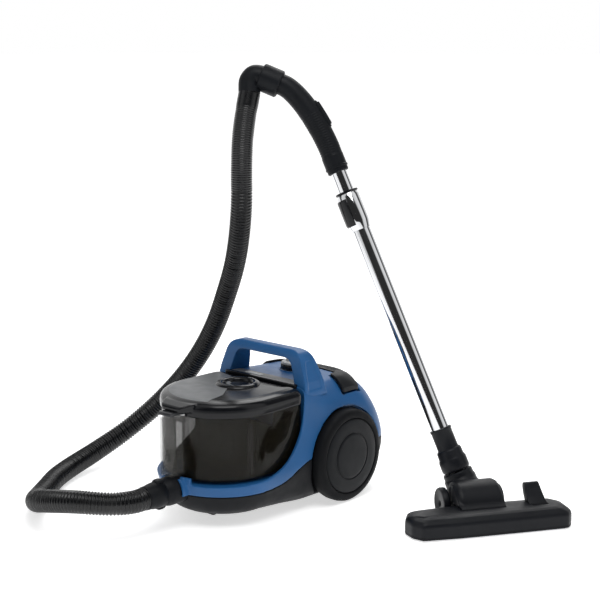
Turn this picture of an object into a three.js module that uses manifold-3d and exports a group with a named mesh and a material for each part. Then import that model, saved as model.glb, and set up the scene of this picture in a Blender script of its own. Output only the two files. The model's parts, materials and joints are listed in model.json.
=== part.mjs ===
// Canister vacuum cleaner with a bagless dust bin, a hose, a telescopic wand and a floor head.
// Millimetres, +Z up. The canister's front looks along -Y and its right side is +X.
import * as THREE from 'three';
import { mergeVertices } from 'three/addons/utils/BufferGeometryUtils.js';
import Module from 'manifold-3d';

const wasm = await Module();
wasm.setup();
const { PI, cos, sin } = Math;

// ---------------------------------------------------------------- driving dimensions
const GAP = 0.3;                 // clearance between pieces that touch
const WALL = 4;                  // moulded shell thickness
const WHEEL_R = 92;
const WHEEL_Y = 15;
const WHEEL_IN = 112;            // wheel's inner and outer faces, from the middle plane
const WHEEL_OUT = 150;
const ARCH_R = 97;
const BASE_Z = 16;               // underside of the base pan
const BOWL_Y = -190;             // centre of the rounded front
const TRAY_Z = 88;               // ledge that the dust bin stands on
const BIN_R = 116;
const BIN_TOP = 213;
const LID_R = 120;
const LID_TOP = 243;
const BIN_REAR = -89;
const INLET_Z = 74;
const CUFF_END_Y = -393;
const CASTOR = { y: -235, r: 15, trail: 12 };
const DECK_Z = 243;
const TUBE_R = 17.5;             // lower chrome tube
const INNER_R = 15.6;            // upper chrome tube, which slides in the lower one
const HOSE_R = 21;
const JOINT = new THREE.Vector3(344, 104.5, 66.9);    // where the wand meets the neck
const HEAD = { x: 428.4, y: 60.4, turn: 57 };         // floor head's centre and heading
const PIVOT = { y: 69, z: 31 };                       // tilt axis in the head's own frame

// Hose route from the elbow outlet down to the floor, round a loop and back up to the cuff.
const HOSE_ROUTE = [
  [-63, -49, 790], [-60, -64, 745], [-55, -77, 700], [-52, -83, 648], [-57, -79, 580],
  [-77, -66, 514], [-110, -47, 450], [-148, -33, 386], [-184, -29, 318], [-221, -33, 257],
  [-266, -44, 196], [-320, -68, 132], [-366, -120, 74], [-383, -195, 38], [-372, -268, 24],
  [-343, -328, 22], [-305, -380, 22], [-265, -430, 25], [-215, -472, 40], [-150, -500, 62],
  [-75, -495, 77], [-14, -452, 76], [0, -414, INLET_Z], [0, CUFF_END_Y - 0.5, INLET_Z],
];

// ---------------------------------------------------------------- materials
const plastic = (color, roughness) => new THREE.MeshStandardMaterial({ color, roughness, metalness: 0 });
const metal = (color, roughness) => new THREE.MeshStandardMaterial({ color, roughness, metalness: 1 });
const BLUE = () => plastic(0x1f5c99, 0.42);
const BLACK = () => plastic(0x1b1d20, 0.55);
const GLOSS = () => plastic(0x131416, 0.18);
const GREY = () => plastic(0x6b6e72, 0.45);
const RUBBER = () => plastic(0x161718, 0.85);
const CHROME = () => metal(0xc9ccd0, 0.12);
const STEEL = () => metal(0x9a9da1, 0.35);
const FOAM = () => plastic(0x3c4045, 0.95);
const SMOKE = () => new THREE.MeshStandardMaterial({ color: 0x4a463c, roughness: 0.1, transparent: true, opacity: 0.5 });

// ---------------------------------------------------------------- solid helpers
function solid(geometry) {
  const g = geometry.clone();
  g.deleteAttribute('normal');
  g.deleteAttribute('uv');
  const m = mergeVertices(g, 1e-4);
  const index = m.index ? Array.from(m.index.array) : [...m.attributes.position.array.keys()];
  return new wasm.Manifold(new wasm.Mesh({
    numProp: 3,
    vertProperties: new Float32Array(m.attributes.position.array),
    triVerts: new Uint32Array(index),
  }));
}

function geometryOf(manifold) {
  const m = manifold.getMesh();
  const g = new THREE.BufferGeometry();
  g.setAttribute('position', new THREE.BufferAttribute(new Float32Array(m.vertProperties), 3));
  g.setIndex(new THREE.BufferAttribute(new Uint32Array(m.triVerts), 1));
  return g;
}

const join = (first, ...rest) => rest.reduce((a, b) => a.add(b), first);
const cut = (first, ...rest) => rest.reduce((a, b) => a.subtract(b), first);

function box(x0, x1, y0, y1, z0, z1) {
  const g = new THREE.BoxGeometry(x1 - x0, y1 - y0, z1 - z0);
  return solid(g.translate((x0 + x1) / 2, (y0 + y1) / 2, (z0 + z1) / 2));
}

// Solid of revolution: profile of [radius, height] pairs from the axis back to the axis.
function turned(profile, segments = 24) {
  const points = profile.map(([r, h]) => new THREE.Vector2(Math.max(r, 0), h));
  return new THREE.LatheGeometry(points, segments).rotateX(PI / 2);
}

// A ring-shaped profile closes on itself and leaves a through bore.
function ring(rIn, rOut, z0, z1, segments = 24) {
  return turned([[rIn, z0], [rOut, z0], [rOut, z1], [rIn, z1], [rIn, z0]], segments);
}

const rod = (r, z0, z1, segments = 24) => turned([[0, z0], [r, z0], [r, z1], [0, z1]], segments);
const alongX = (g) => g.rotateY(PI / 2);
const alongY = (g) => g.rotateX(-PI / 2);

// Joins closed loops of points, all with the same count, into one capped solid.
function loft(loops) {
  const n = loops[0].length;
  const position = loops.flat(2);
  const index = [];
  for (let k = 0; k < loops.length - 1; k += 1) {
    for (let i = 0; i < n; i += 1) {
      const a = k * n + i;
      const b = k * n + ((i + 1) % n);
      index.push(a, b, b + n, a, b + n, a + n);
    }
  }
  for (const [k, flip] of [[0, true], [loops.length - 1, false]]) {
    const middle = [0, 1, 2].map((c) => loops[k].reduce((s, p) => s + p[c], 0) / n);
    const centre = position.length / 3;
    position.push(...middle);
    for (let i = 0; i < n; i += 1) {
      const a = k * n + i;
      const b = k * n + ((i + 1) % n);
      index.push(...(flip ? [centre, b, a] : [centre, a, b]));
    }
  }
  const g = new THREE.BufferGeometry();
  g.setAttribute('position', new THREE.Float32BufferAttribute(position, 3));
  g.setIndex(index);
  return g;
}

// Prism with a side-view outline of [y, z] points, running across the part from x0 to x1.
function sidePrism(outline, x0, x1) {
  const shape = new THREE.Shape(outline.map(([y, z]) => new THREE.Vector2(y, z)));
  const g = new THREE.ExtrudeGeometry(shape, { depth: x1 - x0, bevelEnabled: false });
  g.applyMatrix4(new THREE.Matrix4().set(0, 0, 1, x0, 1, 0, 0, 0, 0, 1, 0, 0, 0, 0, 0, 1));
  return solid(g);
}

// Prism with a front-view outline of [x, z] points, running from y0 to y1.
function frontPrism(outline, y0, y1) {
  const shape = new THREE.Shape(outline.map(([x, z]) => new THREE.Vector2(x, z)));
  const g = new THREE.ExtrudeGeometry(shape, { depth: y1 - y0, bevelEnabled: false });
  g.applyMatrix4(new THREE.Matrix4().set(1, 0, 0, 0, 0, 0, -1, y1, 0, 1, 0, 0, 0, 0, 0, 1));
  return solid(g);
}

// Tube of n sides along a smooth curve through the given points.
function swept(points, radius, sides, steps) {
  const curve = new THREE.CatmullRomCurve3(points.map((p) => new THREE.Vector3(...p)));
  const section = new THREE.Shape();
  for (let i = 0; i < sides; i += 1) {
    const t = (2 * PI * i) / sides;
    section[i ? 'lineTo' : 'moveTo'](radius * cos(t), radius * sin(t));
  }
  section.closePath();
  return new THREE.ExtrudeGeometry(section, { steps, extrudePath: curve, bevelEnabled: false });
}

// Round bar between two points.
function strut(from, to, radius, segments = 20) {
  const a = new THREE.Vector3(...from);
  const b = new THREE.Vector3(...to);
  const turn = new THREE.Quaternion().setFromUnitVectors(
    new THREE.Vector3(0, 0, 1), b.clone().sub(a).normalize(),
  );
  return rod(radius, 0, a.distanceTo(b), segments).applyQuaternion(turn).translate(...from);
}

function mesh(name, shape, material) {
  const geometry = shape.getMesh ? geometryOf(shape) : shape;
  const m = new THREE.Mesh(geometry, material);
  m.name = name;
  return m;
}

// ---------------------------------------------------------------- plan outlines of the canister
// Rounded front of radius front, half width side at the bin's rear and wide at the axle,
// and a rear edge at y = rear with rounded corners.
function planLoop(z, front, side, wide, rear, corner = 52, inset = 0) {
  const loop = [];
  const f = front - inset;
  const c = corner - inset;
  for (let i = 0; i <= 16; i += 1) {
    const t = PI + (PI * i) / 16;
    loop.push([f * cos(t), BOWL_Y + f * sin(t), z]);
  }
  loop.push([side - inset, -85, z]);
  loop.push([wide - inset, Math.min(WHEEL_Y, rear - corner - 12), z]);
  for (let i = 0; i <= 5; i += 1) {
    const t = (PI / 2) * (i / 5);
    loop.push([wide - corner + c * cos(t), rear - corner + c * sin(t), z]);
  }
  for (let i = 5; i >= 0; i -= 1) {
    const t = (PI / 2) * (i / 5);
    loop.push([-(wide - corner + c * cos(t)), rear - corner + c * sin(t), z]);
  }
  loop.push([-(wide - inset), Math.min(WHEEL_Y, rear - corner - 12), z]);
  loop.push([-(side - inset), -85, z]);
  return loop;
}

// height, front radius, half width by the bin, half width at the axle, rear edge
const BODY_LEVELS = [
  [BASE_Z, 74, 98, 102, 124], [24, 98, 110, 112, 134], [36, 112, 120, 122, 145], [60, 122, 127, 130, 153],
  [88, 127, 131, 136, 156],
  [120, 126, 131, 138, 152], [160, 125, 129, 134, 139], [200, 123, 125, 123, 119], [222, 120, 121, 108, 103],
  [234, 116, 117, 97, 93], [240, 106, 108, 84, 80], [DECK_Z, 84, 88, 66, 62],
];
const hull = (inset = 0, lift = 0) => solid(loft(
  BODY_LEVELS.map(([z, ...size]) => planLoop(z + lift, ...size, 52, inset)),
));

// U-shaped plan of the dust bin and the lid: half circle in front, flat rear edge.
function binLoop([z, r, rear]) {
  const loop = [];
  for (let i = 0; i <= 24; i += 1) {
    const t = PI + (PI * i) / 24;
    loop.push([r * cos(t), BOWL_Y + r * sin(t), z]);
  }
  loop.push([r, rear - 8, z], [r - 8, rear, z], [-(r - 8), rear, z], [-r, rear - 8, z]);
  return loop;
}
const binSolid = (levels) => solid(loft(levels.map(binLoop)));

// ---------------------------------------------------------------- canister body
const SHELL_EDGE = [
  [-400, TRAY_Z], [-240, TRAY_Z], [-185, 95], [-150, 109], [-128, 130], [-108, 165], [-91, 236],
  [-91, 320], [-400, 320],
];
const SPLIT_LINE = [[-400, 60], [-190, 60], [-150, 70], [-122, 88], [-100, 99], [-80, 104], [200, 104]];

const pairOf = (make) => join(...[-1, 1].map(make));
const wheelRoom = (radius, from) => pairOf((s) => solid(
  alongX(rod(radius, Math.min(s * from, s * 220), Math.max(s * from, s * 220), 28))
    .translate(0, WHEEL_Y, WHEEL_R),
));
const inletSeat = () => solid(alongY(rod(27.4, -345, -305.5, 28)).translate(0, 0, INLET_Z));
const pedalRoom = (s) => box(Math.min(s * 79, s * 117), Math.max(s * 79, s * 117), 24, 76, 196, 300);

function cavity() {
  const rearRoom = box(-200, 200, -80, 200, BASE_Z + WALL, DECK_Z - 5);
  const frontRoom = box(-200, 200, -400, -79, BASE_Z + WALL, TRAY_Z - WALL);
  return cut(hull(WALL).intersect(join(rearRoom, frontRoom)), wheelRoom(ARCH_R + WALL, 104));
}

const binPocket = () => binSolid([[TRAY_Z, BIN_R + 6, BIN_REAR + 2], [400, BIN_R + 6, BIN_REAR + 2]]);

function basePan() {
  const above = sidePrism([...SPLIT_LINE, [200, 400], [-400, 400]], -300, 300);
  const castorHousing = solid(rod(36, BASE_Z + 1, 62, 28).translate(0, CASTOR.y, 0));
  const castorPocket = solid(rod(32, 0, 44, 28).translate(0, CASTOR.y, 0));
  const castorHole = solid(rod(4.3, 40, 57, 16).translate(0, CASTOR.y, 0));
  const axleBlocks = pairOf((s) => box(Math.min(s * 91, s * 106), Math.max(s * 91, s * 106),
    WHEEL_Y - 12, WHEEL_Y + 12, BASE_Z + 2, WHEEL_R + 12));
  const axleHoles = solid(alongX(rod(6.3, -140, 140, 20)).translate(0, WHEEL_Y, WHEEL_R));
  const walls = cut(hull(), above, cavity());
  return cut(join(walls, castorHousing, axleBlocks), binPocket(), castorPocket, castorHole, axleHoles,
    wheelRoom(ARCH_R, 109), inletSeat());
}

function mainShell() {
  const below = sidePrism([...SPLIT_LINE.map(([y, z]) => [y, z + GAP]), [200, -50], [-400, -50]], -300, 300);
  const knobHole = solid(rod(8.5, 225, 260, 20).translate(0, 14, 0));
  const grilleHole = box(-76, 76, 49, 126, 190, 300);
  const airHole = box(-45, 45, -92, -75, 150, 200);
  const cordHole = solid(alongY(rod(8.4, 110, 170, 20)).translate(-58, 0, 122));
  return cut(hull(), below, sidePrism(SHELL_EDGE, -300, 300), binPocket(), cavity(), wheelRoom(ARCH_R, 109),
    knobHole, grilleHole, airHole, cordHole, inletSeat(), pedalRoom(-1), pedalRoom(1));
}

function carryHandle() {
  const outer = [[118, 222], [114, 250], [104, 290], [97, 301], [86, 307]];
  const inner = [[64, 290], [73, 286], [79, 276], [90, 240], [96, 222]];
  const mirrored = (points) => points.map(([x, z]) => [-x, z]);
  const outline = [...outer, ...mirrored(outer).reverse(), ...mirrored([...inner].reverse()), ...inner];
  const arch = frontPrism(outline, -90, -22);
  const side = sidePrism([[-86, 222], [-26, 222], [-34, 262], [-44, 300], [-50, 308], [-72, 308], [-78, 298]],
    -130, 130);
  return cut(arch.intersect(side), hull(-GAP, GAP), lidRoom());
}
const lidRoom = () => binSolid([[150, LID_R + 1, -90.5], [260, LID_R + 1, -90.5]]);

function exhaustGrille() {
  const plate = cut(hull(-0.8), hull(3), box(-300, 300, -400, 49.3, 0, 400));
  let grille = plate.intersect(box(-75.7, 75.7, 49.3, 125.7, 204, 300));
  for (let i = 0; i < 6; i += 1) {
    const y = 57 + i * 8;
    grille = cut(grille, box(-66, 66, y, y + 3.4, 190, 300));
  }
  return grille;
}

const deckTrim = () => cut(box(-86, 86, -84, -60, 236, 249), hull(-GAP, GAP),
  sidePrism([[-100, 246], [-84, 246], [-58, 249.5], [-58, 300], [-100, 300]], -200, 200));

function motorHousing() {
  const barrel = solid(alongY(turned([[0, -62], [20, -62], [20, -54], [52, -50], [52, 8], [40, 18], [20, 22],
    [20, 28], [0, 28]], 24)));
  const room = solid(alongY(turned([[0, -58], [16, -58], [16, -50], [48, -46], [48, 6], [37, 14], [0, 14]], 24)));
  const exit = solid(rod(14, 20, 80, 20).translate(0, -25, 0));
  const eye = solid(alongY(rod(15, -70, -40, 20)));
  return cut(barrel, room, exit, eye).translate(-34, 8, 120);
}

function fanRotor() {
  const hub = solid(alongY(turned([[0, -40], [9, -40], [34, -34], [36, -30], [12, -26], [12, 4], [0, 4]], 28)));
  const blades = [];
  for (let i = 0; i < 7; i += 1) {
    const blade = new THREE.BoxGeometry(24, 7, 1.6).translate(24, -38.5, 0).rotateY((2 * PI * i) / 7);
    blades.push(solid(blade));
  }
  return join(hub, ...blades).translate(-34, 8, 120);
}

const motorSeal = () => alongY(ring(21, 30, -62, -54.5)).translate(-34, 8, 120);

const cordReel = () => alongX(turned([[10, -24], [58, -24], [58, -21], [30, -21], [30, 21], [58, 21],
  [58, 24], [10, 24], [10, -24]])).translate(60, 66, 98);

const reelAxle = () => join(
  solid(alongX(rod(9.4, -31, 27))),
  box(-31, -25, -8, 8, -77, 10),
).translate(60, 66, 98);

function cordOutlet() {
  const bush = solid(alongY(ring(4.5, 8, 128, 158, 24)));
  const flange = solid(alongY(ring(4.5, 12, 0, 3, 24)).translate(0, 153.6, 0));
  return join(bush, flange).translate(-58, 0, 122);
}

const prefilter = () => box(-44, 44, -79.5, -66, 151, 199);
const exhaustFilter = () => box(-66, 66, 52, 98, 186, 203);
const controlBoard = () => join(box(-40, 40, -20, 46, 214, 216), box(-30, -10, -10, 8, 216, 226),
  box(18, 34, 20, 40, 202, 214));

function inletRing() {
  const body = solid(alongY(rod(27, -340, -307, 24)));
  const bore = solid(alongY(rod(21, -350, -311, 24)));
  const port = box(-10, 10, -330, -313, 10, 40);
  return cut(body, bore, port).translate(0, 0, INLET_Z);
}

function buildCanister() {
  return [
    mesh('base_pan', basePan(), BLACK()),
    mesh('main_shell', mainShell(), BLUE()),
    mesh('carry_handle', carryHandle(), BLUE()),
    mesh('deck_trim', deckTrim(), GREY()),
    mesh('exhaust_grille', exhaustGrille(), BLACK()),
    mesh('exhaust_filter', exhaustFilter(), FOAM()),
    mesh('motor_housing', motorHousing(), GREY()),
    mesh('motor_seal', motorSeal(), RUBBER()),
    mesh('fan_rotor', fanRotor(), STEEL()),
    mesh('prefilter', prefilter(), FOAM()),
    mesh('control_board', controlBoard(), plastic(0x1f5a35, 0.6)),
    mesh('cord_reel', cordReel(), GREY()),
    mesh('reel_axle', reelAxle(), STEEL()),
    mesh('cord_outlet', cordOutlet(), RUBBER()),
    mesh('inlet_ring', inletRing(), BLACK()),
  ];
}

// ---------------------------------------------------------------- wheels and castor
function buildRearWheel(side, s) {
  const place = (g) => (s > 0 ? alongX(g) : alongX(g).rotateZ(PI)).translate(0, WHEEL_Y, WHEEL_R);
  const tyre = turned([[74, WHEEL_IN + 3], [86, WHEEL_IN], [90, WHEEL_IN + 4], [WHEEL_R, WHEEL_IN + 14],
    [WHEEL_R, WHEEL_OUT - 14], [88, WHEEL_OUT - 4], [78, WHEEL_OUT - 1], [74, WHEEL_OUT - 3],
    [74, WHEEL_IN + 3]], 28);
  const disc = turned([[10, WHEEL_IN], [16, WHEEL_IN], [18, WHEEL_IN + 22], [60, WHEEL_IN + 24],
    [73.6, WHEEL_IN + 10], [73.6, WHEEL_OUT - 4], [62, WHEEL_OUT - 1], [46, WHEEL_OUT],
    [44, WHEEL_OUT - 3], [10, WHEEL_OUT - 3], [10, WHEEL_IN]], 28);
  const cap = turned([[0, WHEEL_OUT - 8], [9, WHEEL_OUT - 8], [9, WHEEL_OUT - 2.6], [43.5, WHEEL_OUT - 2.6],
    [42, WHEEL_OUT - 0.6], [0, WHEEL_OUT - 0.2]], 28);
  const axle = turned([[0, 88], [6, 88], [6, 110], [9.6, 110], [9.6, WHEEL_OUT - 9], [0, WHEEL_OUT - 9]], 20);
  return [
    mesh(`tyre_${side}`, place(tyre), RUBBER()),
    mesh(`wheel_disc_${side}`, place(disc), BLACK()),
    mesh(`wheel_cap_${side}`, place(cap), BLACK()),
    mesh(`axle_${side}`, place(axle), STEEL()),
  ];
}

function buildCastor() {
  const y = CASTOR.y;
  const wheelY = y + CASTOR.trail;
  const fork = cut(
    join(
      solid(rod(4, 38, 54, 16).translate(0, y, 0)),
      solid(rod(24, 34, 40, 28).translate(0, y, 0)),
      box(-12, -8.5, wheelY - 9, wheelY + 9, 9, 36),
      box(8.5, 12, wheelY - 9, wheelY + 9, 9, 36),
    ),
    solid(alongX(rod(2.8, -20, 20, 14)).translate(0, wheelY, CASTOR.r)),
  );
  const pin = alongX(rod(2.5, -11.5, 11.5, 14)).translate(0, wheelY, CASTOR.r);
  const wheel = alongX(ring(2.8, CASTOR.r, -7.5, 7.5, 24)).translate(0, wheelY, CASTOR.r);
  return [
    mesh('castor_fork', fork, BLACK()),
    mesh('castor_pin', pin, STEEL()),
    mesh('castor_wheel', wheel, RUBBER()),
  ];
}

// ---------------------------------------------------------------- dust bin and lid
const DUCT = { x: 13, front: -338, rear: -308, low: 103, high: 222 };

function binCup() {
  const low = TRAY_Z + 2.5;
  const outer = binSolid([[low, BIN_R - 4, BIN_REAR - 4], [low + 4, BIN_R, BIN_REAR], [BIN_TOP, BIN_R, BIN_REAR]]);
  const inner = binSolid([[low + 3, BIN_R - 3, BIN_REAR - 3], [BIN_TOP + 5, BIN_R - 3, BIN_REAR - 3]]);
  const web = box(-DUCT.x, DUCT.x, DUCT.front, -302, DUCT.low, DUCT.high - 14);
  const bore = box(-DUCT.x + 3, DUCT.x - 3, DUCT.front + 3, DUCT.rear, DUCT.low - 5, DUCT.high - 18);
  const port = box(-DUCT.x + 3, DUCT.x - 3, DUCT.rear - 1, -290, 165, 198);
  const cleared = cut(join(outer, web), inner, bore, port);
  return cut(cleared, box(-40, 40, BIN_REAR - 10, BIN_REAR + 5, 155, 195));
}

const binLatch = () => join(
  box(-13, 13, DUCT.front + 1, DUCT.rear - 4, DUCT.high - 8, DUCT.high - 4),
  box(-16, 16, DUCT.front + 1, -303, DUCT.high - 4, DUCT.high),
);

function binLid() {
  const outer = binSolid([[BIN_TOP + GAP, LID_R - 1, -92], [LID_TOP - 6, LID_R, -91.5], [LID_TOP - 1, LID_R - 6, -93],
    [LID_TOP, LID_R - 14, -100]]);
  const hollow = binSolid([[BIN_TOP - 5, LID_R - 8, -100], [LID_TOP - 6, LID_R - 8, -100]]);
  const buttonHole = solid(rod(26.5, 200, 260, 28).translate(0, -138, 0));
  const latchRoom = box(-17.4, 17.4, -345, -302.4, 190, DUCT.high + 0.8);
  const nose = box(-21.3, 21.3, -321.7, -304.6, DUCT.high + 2.2, LID_TOP - 3.1);
  return cut(join(outer, nose), hollow, buttonHole, latchRoom);
}

const lidBezel = () => ring(28, 42, LID_TOP + GAP, LID_TOP + 6, 28).translate(0, -138, 0);
const lidButton = () => turned([[0, LID_TOP - 3], [26, LID_TOP - 3], [26, LID_TOP + 2], [24, LID_TOP + 4],
  [0, LID_TOP + 4]], 28).translate(0, -138, 0);

function cycloneCone() {
  const y = BOWL_Y + 4;
  const top = LID_TOP - 6.4;
  const outer = solid(turned([[0, 106], [22, 106], [34, 140], [56, 176], [60, 205], [60, top], [0, top]], 24));
  const inner = solid(turned([[0, 100], [19, 100], [19, 108], [31, 140], [34, 160], [34, top - 3.6],
    [0, top - 3.6]], 24));
  return cut(outer, inner).translate(0, y, 0);
}

const meshFilter = () => ring(26, 32.5, 163, LID_TOP - 11).translate(0, BOWL_Y + 4, 0);

const buildBin = () => [
  mesh('bin_cup', binCup(), SMOKE()),
  mesh('bin_latch', binLatch(), GLOSS()),
  mesh('bin_lid', binLid(), GREY()),
  mesh('lid_bezel', lidBezel(), GLOSS()),
  mesh('lid_button', lidButton(), GLOSS()),
  mesh('cyclone_cone', cycloneCone(), BLACK()),
  mesh('mesh_filter', meshFilter(), STEEL()),
];

// ---------------------------------------------------------------- controls on the deck
const powerKnob = () => turned([[0, 228], [8, 228], [8, DECK_Z + 2], [30, DECK_Z + 2], [30, DECK_Z + 12],
  [27, DECK_Z + 17], [0, DECK_Z + 18]], 24).translate(0, 14, 0);

function pedal(s) {
  const plate = cut(hull(-0.6), hull(4)).intersect(box(Math.min(s * 80, s * 116), Math.max(s * 80, s * 116),
    25, 75, 196, 300));
  return plate.translate(0, 0, 4);
}

const buildControls = () => [
  mesh('power_knob', powerKnob(), GREY()),
  mesh('power_pedal', pedal(1), BLACK()),
  mesh('rewind_pedal', pedal(-1), BLACK()),
];

// ---------------------------------------------------------------- hose and its fittings
function hoseCuff() {
  const y0 = CUFF_END_Y;
  const body = solid(alongY(turned([[17, y0], [22, y0], [23.5, y0 + 22], [24.6, y0 + 24], [24.6, y0 + 50.4],
    [20.6, y0 + 50.4], [20.6, -314], [17, -314], [17, y0]], 24)));
  const pockets = [-1, 1].map((s) => box(-8, 8, y0 + 26, y0 + 48, Math.min(s * 20, s * 30), Math.max(s * 20, s * 30)));
  return cut(body, ...pockets).translate(0, 0, INLET_Z);
}

const cuffClip = (s) => box(-7.6, 7.6, CUFF_END_Y + 26.5, CUFF_END_Y + 47.5,
  Math.min(s * 22.2, s * 26.8), Math.max(s * 22.2, s * 26.8)).translate(0, 0, INLET_Z);

const buildHose = () => [
  mesh('hose_tube', swept(HOSE_ROUTE, HOSE_R, 10, 24), BLACK()),
  mesh('hose_cuff', hoseCuff(), BLACK()),
  mesh('cuff_clip_top', cuffClip(1), BLACK()),
  mesh('cuff_clip_bottom', cuffClip(-1), BLACK()),
];

// ---------------------------------------------------------------- wand, in the plane it leans in
// In this frame x runs to the right across the wand's plane and z up along it, from the neck joint.
const WAND_TURN = (42.3 * PI) / 180;
const WAND_TILT = (-12.5 * PI) / 180;
const LEAN = (21.54 * PI) / 180;      // the tube leans this far to the left in its own plane
const along = (s, off = 0) => [-s * sin(LEAN) + off * cos(LEAN), 0, s * cos(LEAN) + off * sin(LEAN)];
const leaned = (g) => g.rotateY(-LEAN);
const BEND = [along(655), along(690), [-271, 0, 676], [-301, 0, 722], [-331.5, 0, 752.5], [-359, 0, 764.1]];

function wandGroup(children) {
  const group = new THREE.Group();
  group.position.copy(JOINT);
  group.rotation.set(WAND_TILT, 0, WAND_TURN, 'ZXY');
  group.add(...children);
  return group;
}

const ELBOW_AXIS = (23 * PI) / 180;
function hoseElbow() {
  const collar = solid(ring(20.6, 25, -20, 12, 24).rotateY(-PI / 2 + ELBOW_AXIS).translate(-369, 0, 768));
  const corner = [-398.7, 2.2, 774.2];
  const ball = solid(new THREE.SphereGeometry(22, 20, 12).translate(...corner));
  const inlet = solid(strut([-374, 0, 770.2], corner, 22));
  const outlet = solid(strut(corner, [-404.25, 0, 741], HOSE_R));
  return join(collar, inlet, ball, outlet);
}

const handleTube = () => join(
  solid(swept(BEND, 19.6, 14, 10)),
  solid(leaned(rod(20.5, 640, 668, 28))),
);

const slideSwitch = () => leaned(new THREE.BoxGeometry(8, 15, 26).translate(25.8, 0, 676));
const upperTube = () => leaned(ring(13.6, INNER_R, 160, 639.6));
const handleSocket = () => leaned(ring(INNER_R + GAP, 19.5, 612, 639.6));

const lowerTube = () => leaned(ring(INNER_R + GAP, TUBE_R, 98, 556));
function tubeCollar() {
  const body = solid(leaned(ring(TUBE_R + GAP, 22.5, 548, 590, 28)));
  const neckRing = solid(leaned(ring(INNER_R + 0.5, 22.5, 557, 597, 28)));
  const slot = solid(leaned(new THREE.BoxGeometry(8, 14, 40).translate(-20.6, 0, 572)));
  return cut(join(body, neckRing), slot);
}
const tubeLatch = () => leaned(new THREE.BoxGeometry(6, 13, 30).translate(-21.4, 0, 568));

const neckCuff = () => join(
  solid(leaned(ring(TUBE_R + GAP, 20.5, 60, 106, 28))),
  solid(leaned(turned([[12, 20], [24, 20], [27, 28], [27, 42], [22, 48], [20.5, 62], [12, 62], [12, 20]], 28))),
);

const buildWand = () => wandGroup([
  mesh('hose_elbow', hoseElbow(), BLACK()),
  mesh('handle_tube', handleTube(), BLACK()),
  mesh('suction_slider', slideSwitch(), GLOSS()),
  mesh('handle_socket', handleSocket(), BLACK()),
  mesh('upper_tube', upperTube(), CHROME()),
  mesh('lower_tube', lowerTube(), CHROME()),
  mesh('tube_collar', tubeCollar(), CHROME()),
  mesh('tube_latch', tubeLatch(), GLOSS()),
  mesh('neck_cuff', neckCuff(), BLACK()),
]);

// ---------------------------------------------------------------- floor head, in its own frame
// x runs along the head, -y is its front, z up from the floor.
const turnRad = (HEAD.turn * PI) / 180;
function headGroup(children) {
  const group = new THREE.Group();
  group.position.set(HEAD.x, HEAD.y, 0);
  group.rotation.z = turnRad;
  group.add(...children);
  return group;
}
function toHead(point) {
  const local = point.clone().sub(new THREE.Vector3(HEAD.x, HEAD.y, 0));
  return local.applyAxisAngle(new THREE.Vector3(0, 0, 1), -turnRad);
}

function neckElbow() {
  const top = toHead(JOINT);
  const low = [0, PIVOT.y, PIVOT.z];
  const barrel = solid(alongX(rod(24, -36, 24)).translate(...low));
  const axis = new THREE.Vector3(...low).sub(top);
  const over = top.clone().addScaledVector(axis, -0.25).toArray();
  const stem = solid(strut(over, low, 24, 24));
  const axleHole = solid(alongX(rod(4.3, -60, 60, 16)).translate(...low));
  return cut(join(barrel, stem), axleHole);
}

function headLoop(z, grow, rearGrow = grow) {
  const right = [[165, -30], [165, 20], [152, 38], [60, 40]];
  const left = [[-60, 40], [-138, 34], [-151, 6], [-133, -38]];
  const front = [[-60, -43], [60, -43], [152, -43]];
  return [...right, ...left, ...front].map(([x, y]) => [
    x - Math.sign(x) * grow, y - Math.sign(y) * (y > 0 ? rearGrow : grow), z]);
}

function headCover() {
  const outer = solid(loft([headLoop(4, 1), headLoop(10, 0), headLoop(22, 0), headLoop(31, 3), headLoop(37, 9),
    headLoop(40, 18)]));
  const inner = solid(loft([headLoop(2, 4), headLoop(20, 4), headLoop(30, 8), headLoop(35, 16)]));
  const mouth = box(-30, 30, 20, 60, 10, 60);
  const pedalSlot = box(95, 127, -11, 22, 20, 60);
  return cut(outer, inner, mouth, pedalSlot);
}

function headHood() {
  const arc = (r) => {
    const points = [];
    for (let i = 0; i <= 12; i += 1) {
      const t = PI * (0.02 + (0.54 * i) / 12);
      points.push([PIVOT.y - 18 - r * cos(t) * 1.02, 31 + r * 0.96 * sin(t)]);
    }
    return points;
  };
  const outline = [...arc(50), ...arc(46.5).reverse()];
  const shell = sidePrism(outline, -43, 45);
  const cheeks = [[-43, -40], [42, 45]].map(([a, b]) => sidePrism([...arc(50), [58, 42], [PIVOT.y - 56, 40.6]], a, b));
  const coverTop = box(-200, 200, -80, 41, 0, 40.5);
  return cut(join(shell, ...cheeks), coverTop, solid(alongX(rod(26, -60, 60)).translate(0, PIVOT.y, PIVOT.z)));
}

function solePlate() {
  const plate = solid(loft([headLoop(0, 4), headLoop(3.6, 3)]));
  const slot = box(-110, 110, -20, 4, -5, 10);
  const brushSlots = [-29, 26].map((y) => box(-118, 118, y - 3.4, y + 3.4, -5, 10));
  return cut(plate, slot, ...brushSlots);
}

const brushStrips = () => [-29, 26].map((y) => box(-116, 116, y - 2.6, y + 2.6, 3.9, 16));

function headBracket() {
  const frame = cut(box(-42, 42, 40.4, 43.4, 8, 40), box(-24, 24, 36, 46, 13, 35));
  const arms = [-42, 38.6].map((x) => box(x, x + 3.4, 43, 78, 20, 40));
  const shaftHole = solid(alongX(rod(4.3, -60, 60, 16)).translate(0, PIVOT.y, PIVOT.z));
  return cut(join(frame, ...arms), shaftHole);
}

function headPedal() {
  const side = [[-4, 26], [4, 24], [14, 36], [30, 60], [33, 68], [27, 70], [20, 62], [4, 44]];
  return sidePrism(side, 98, 124);
}

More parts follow.
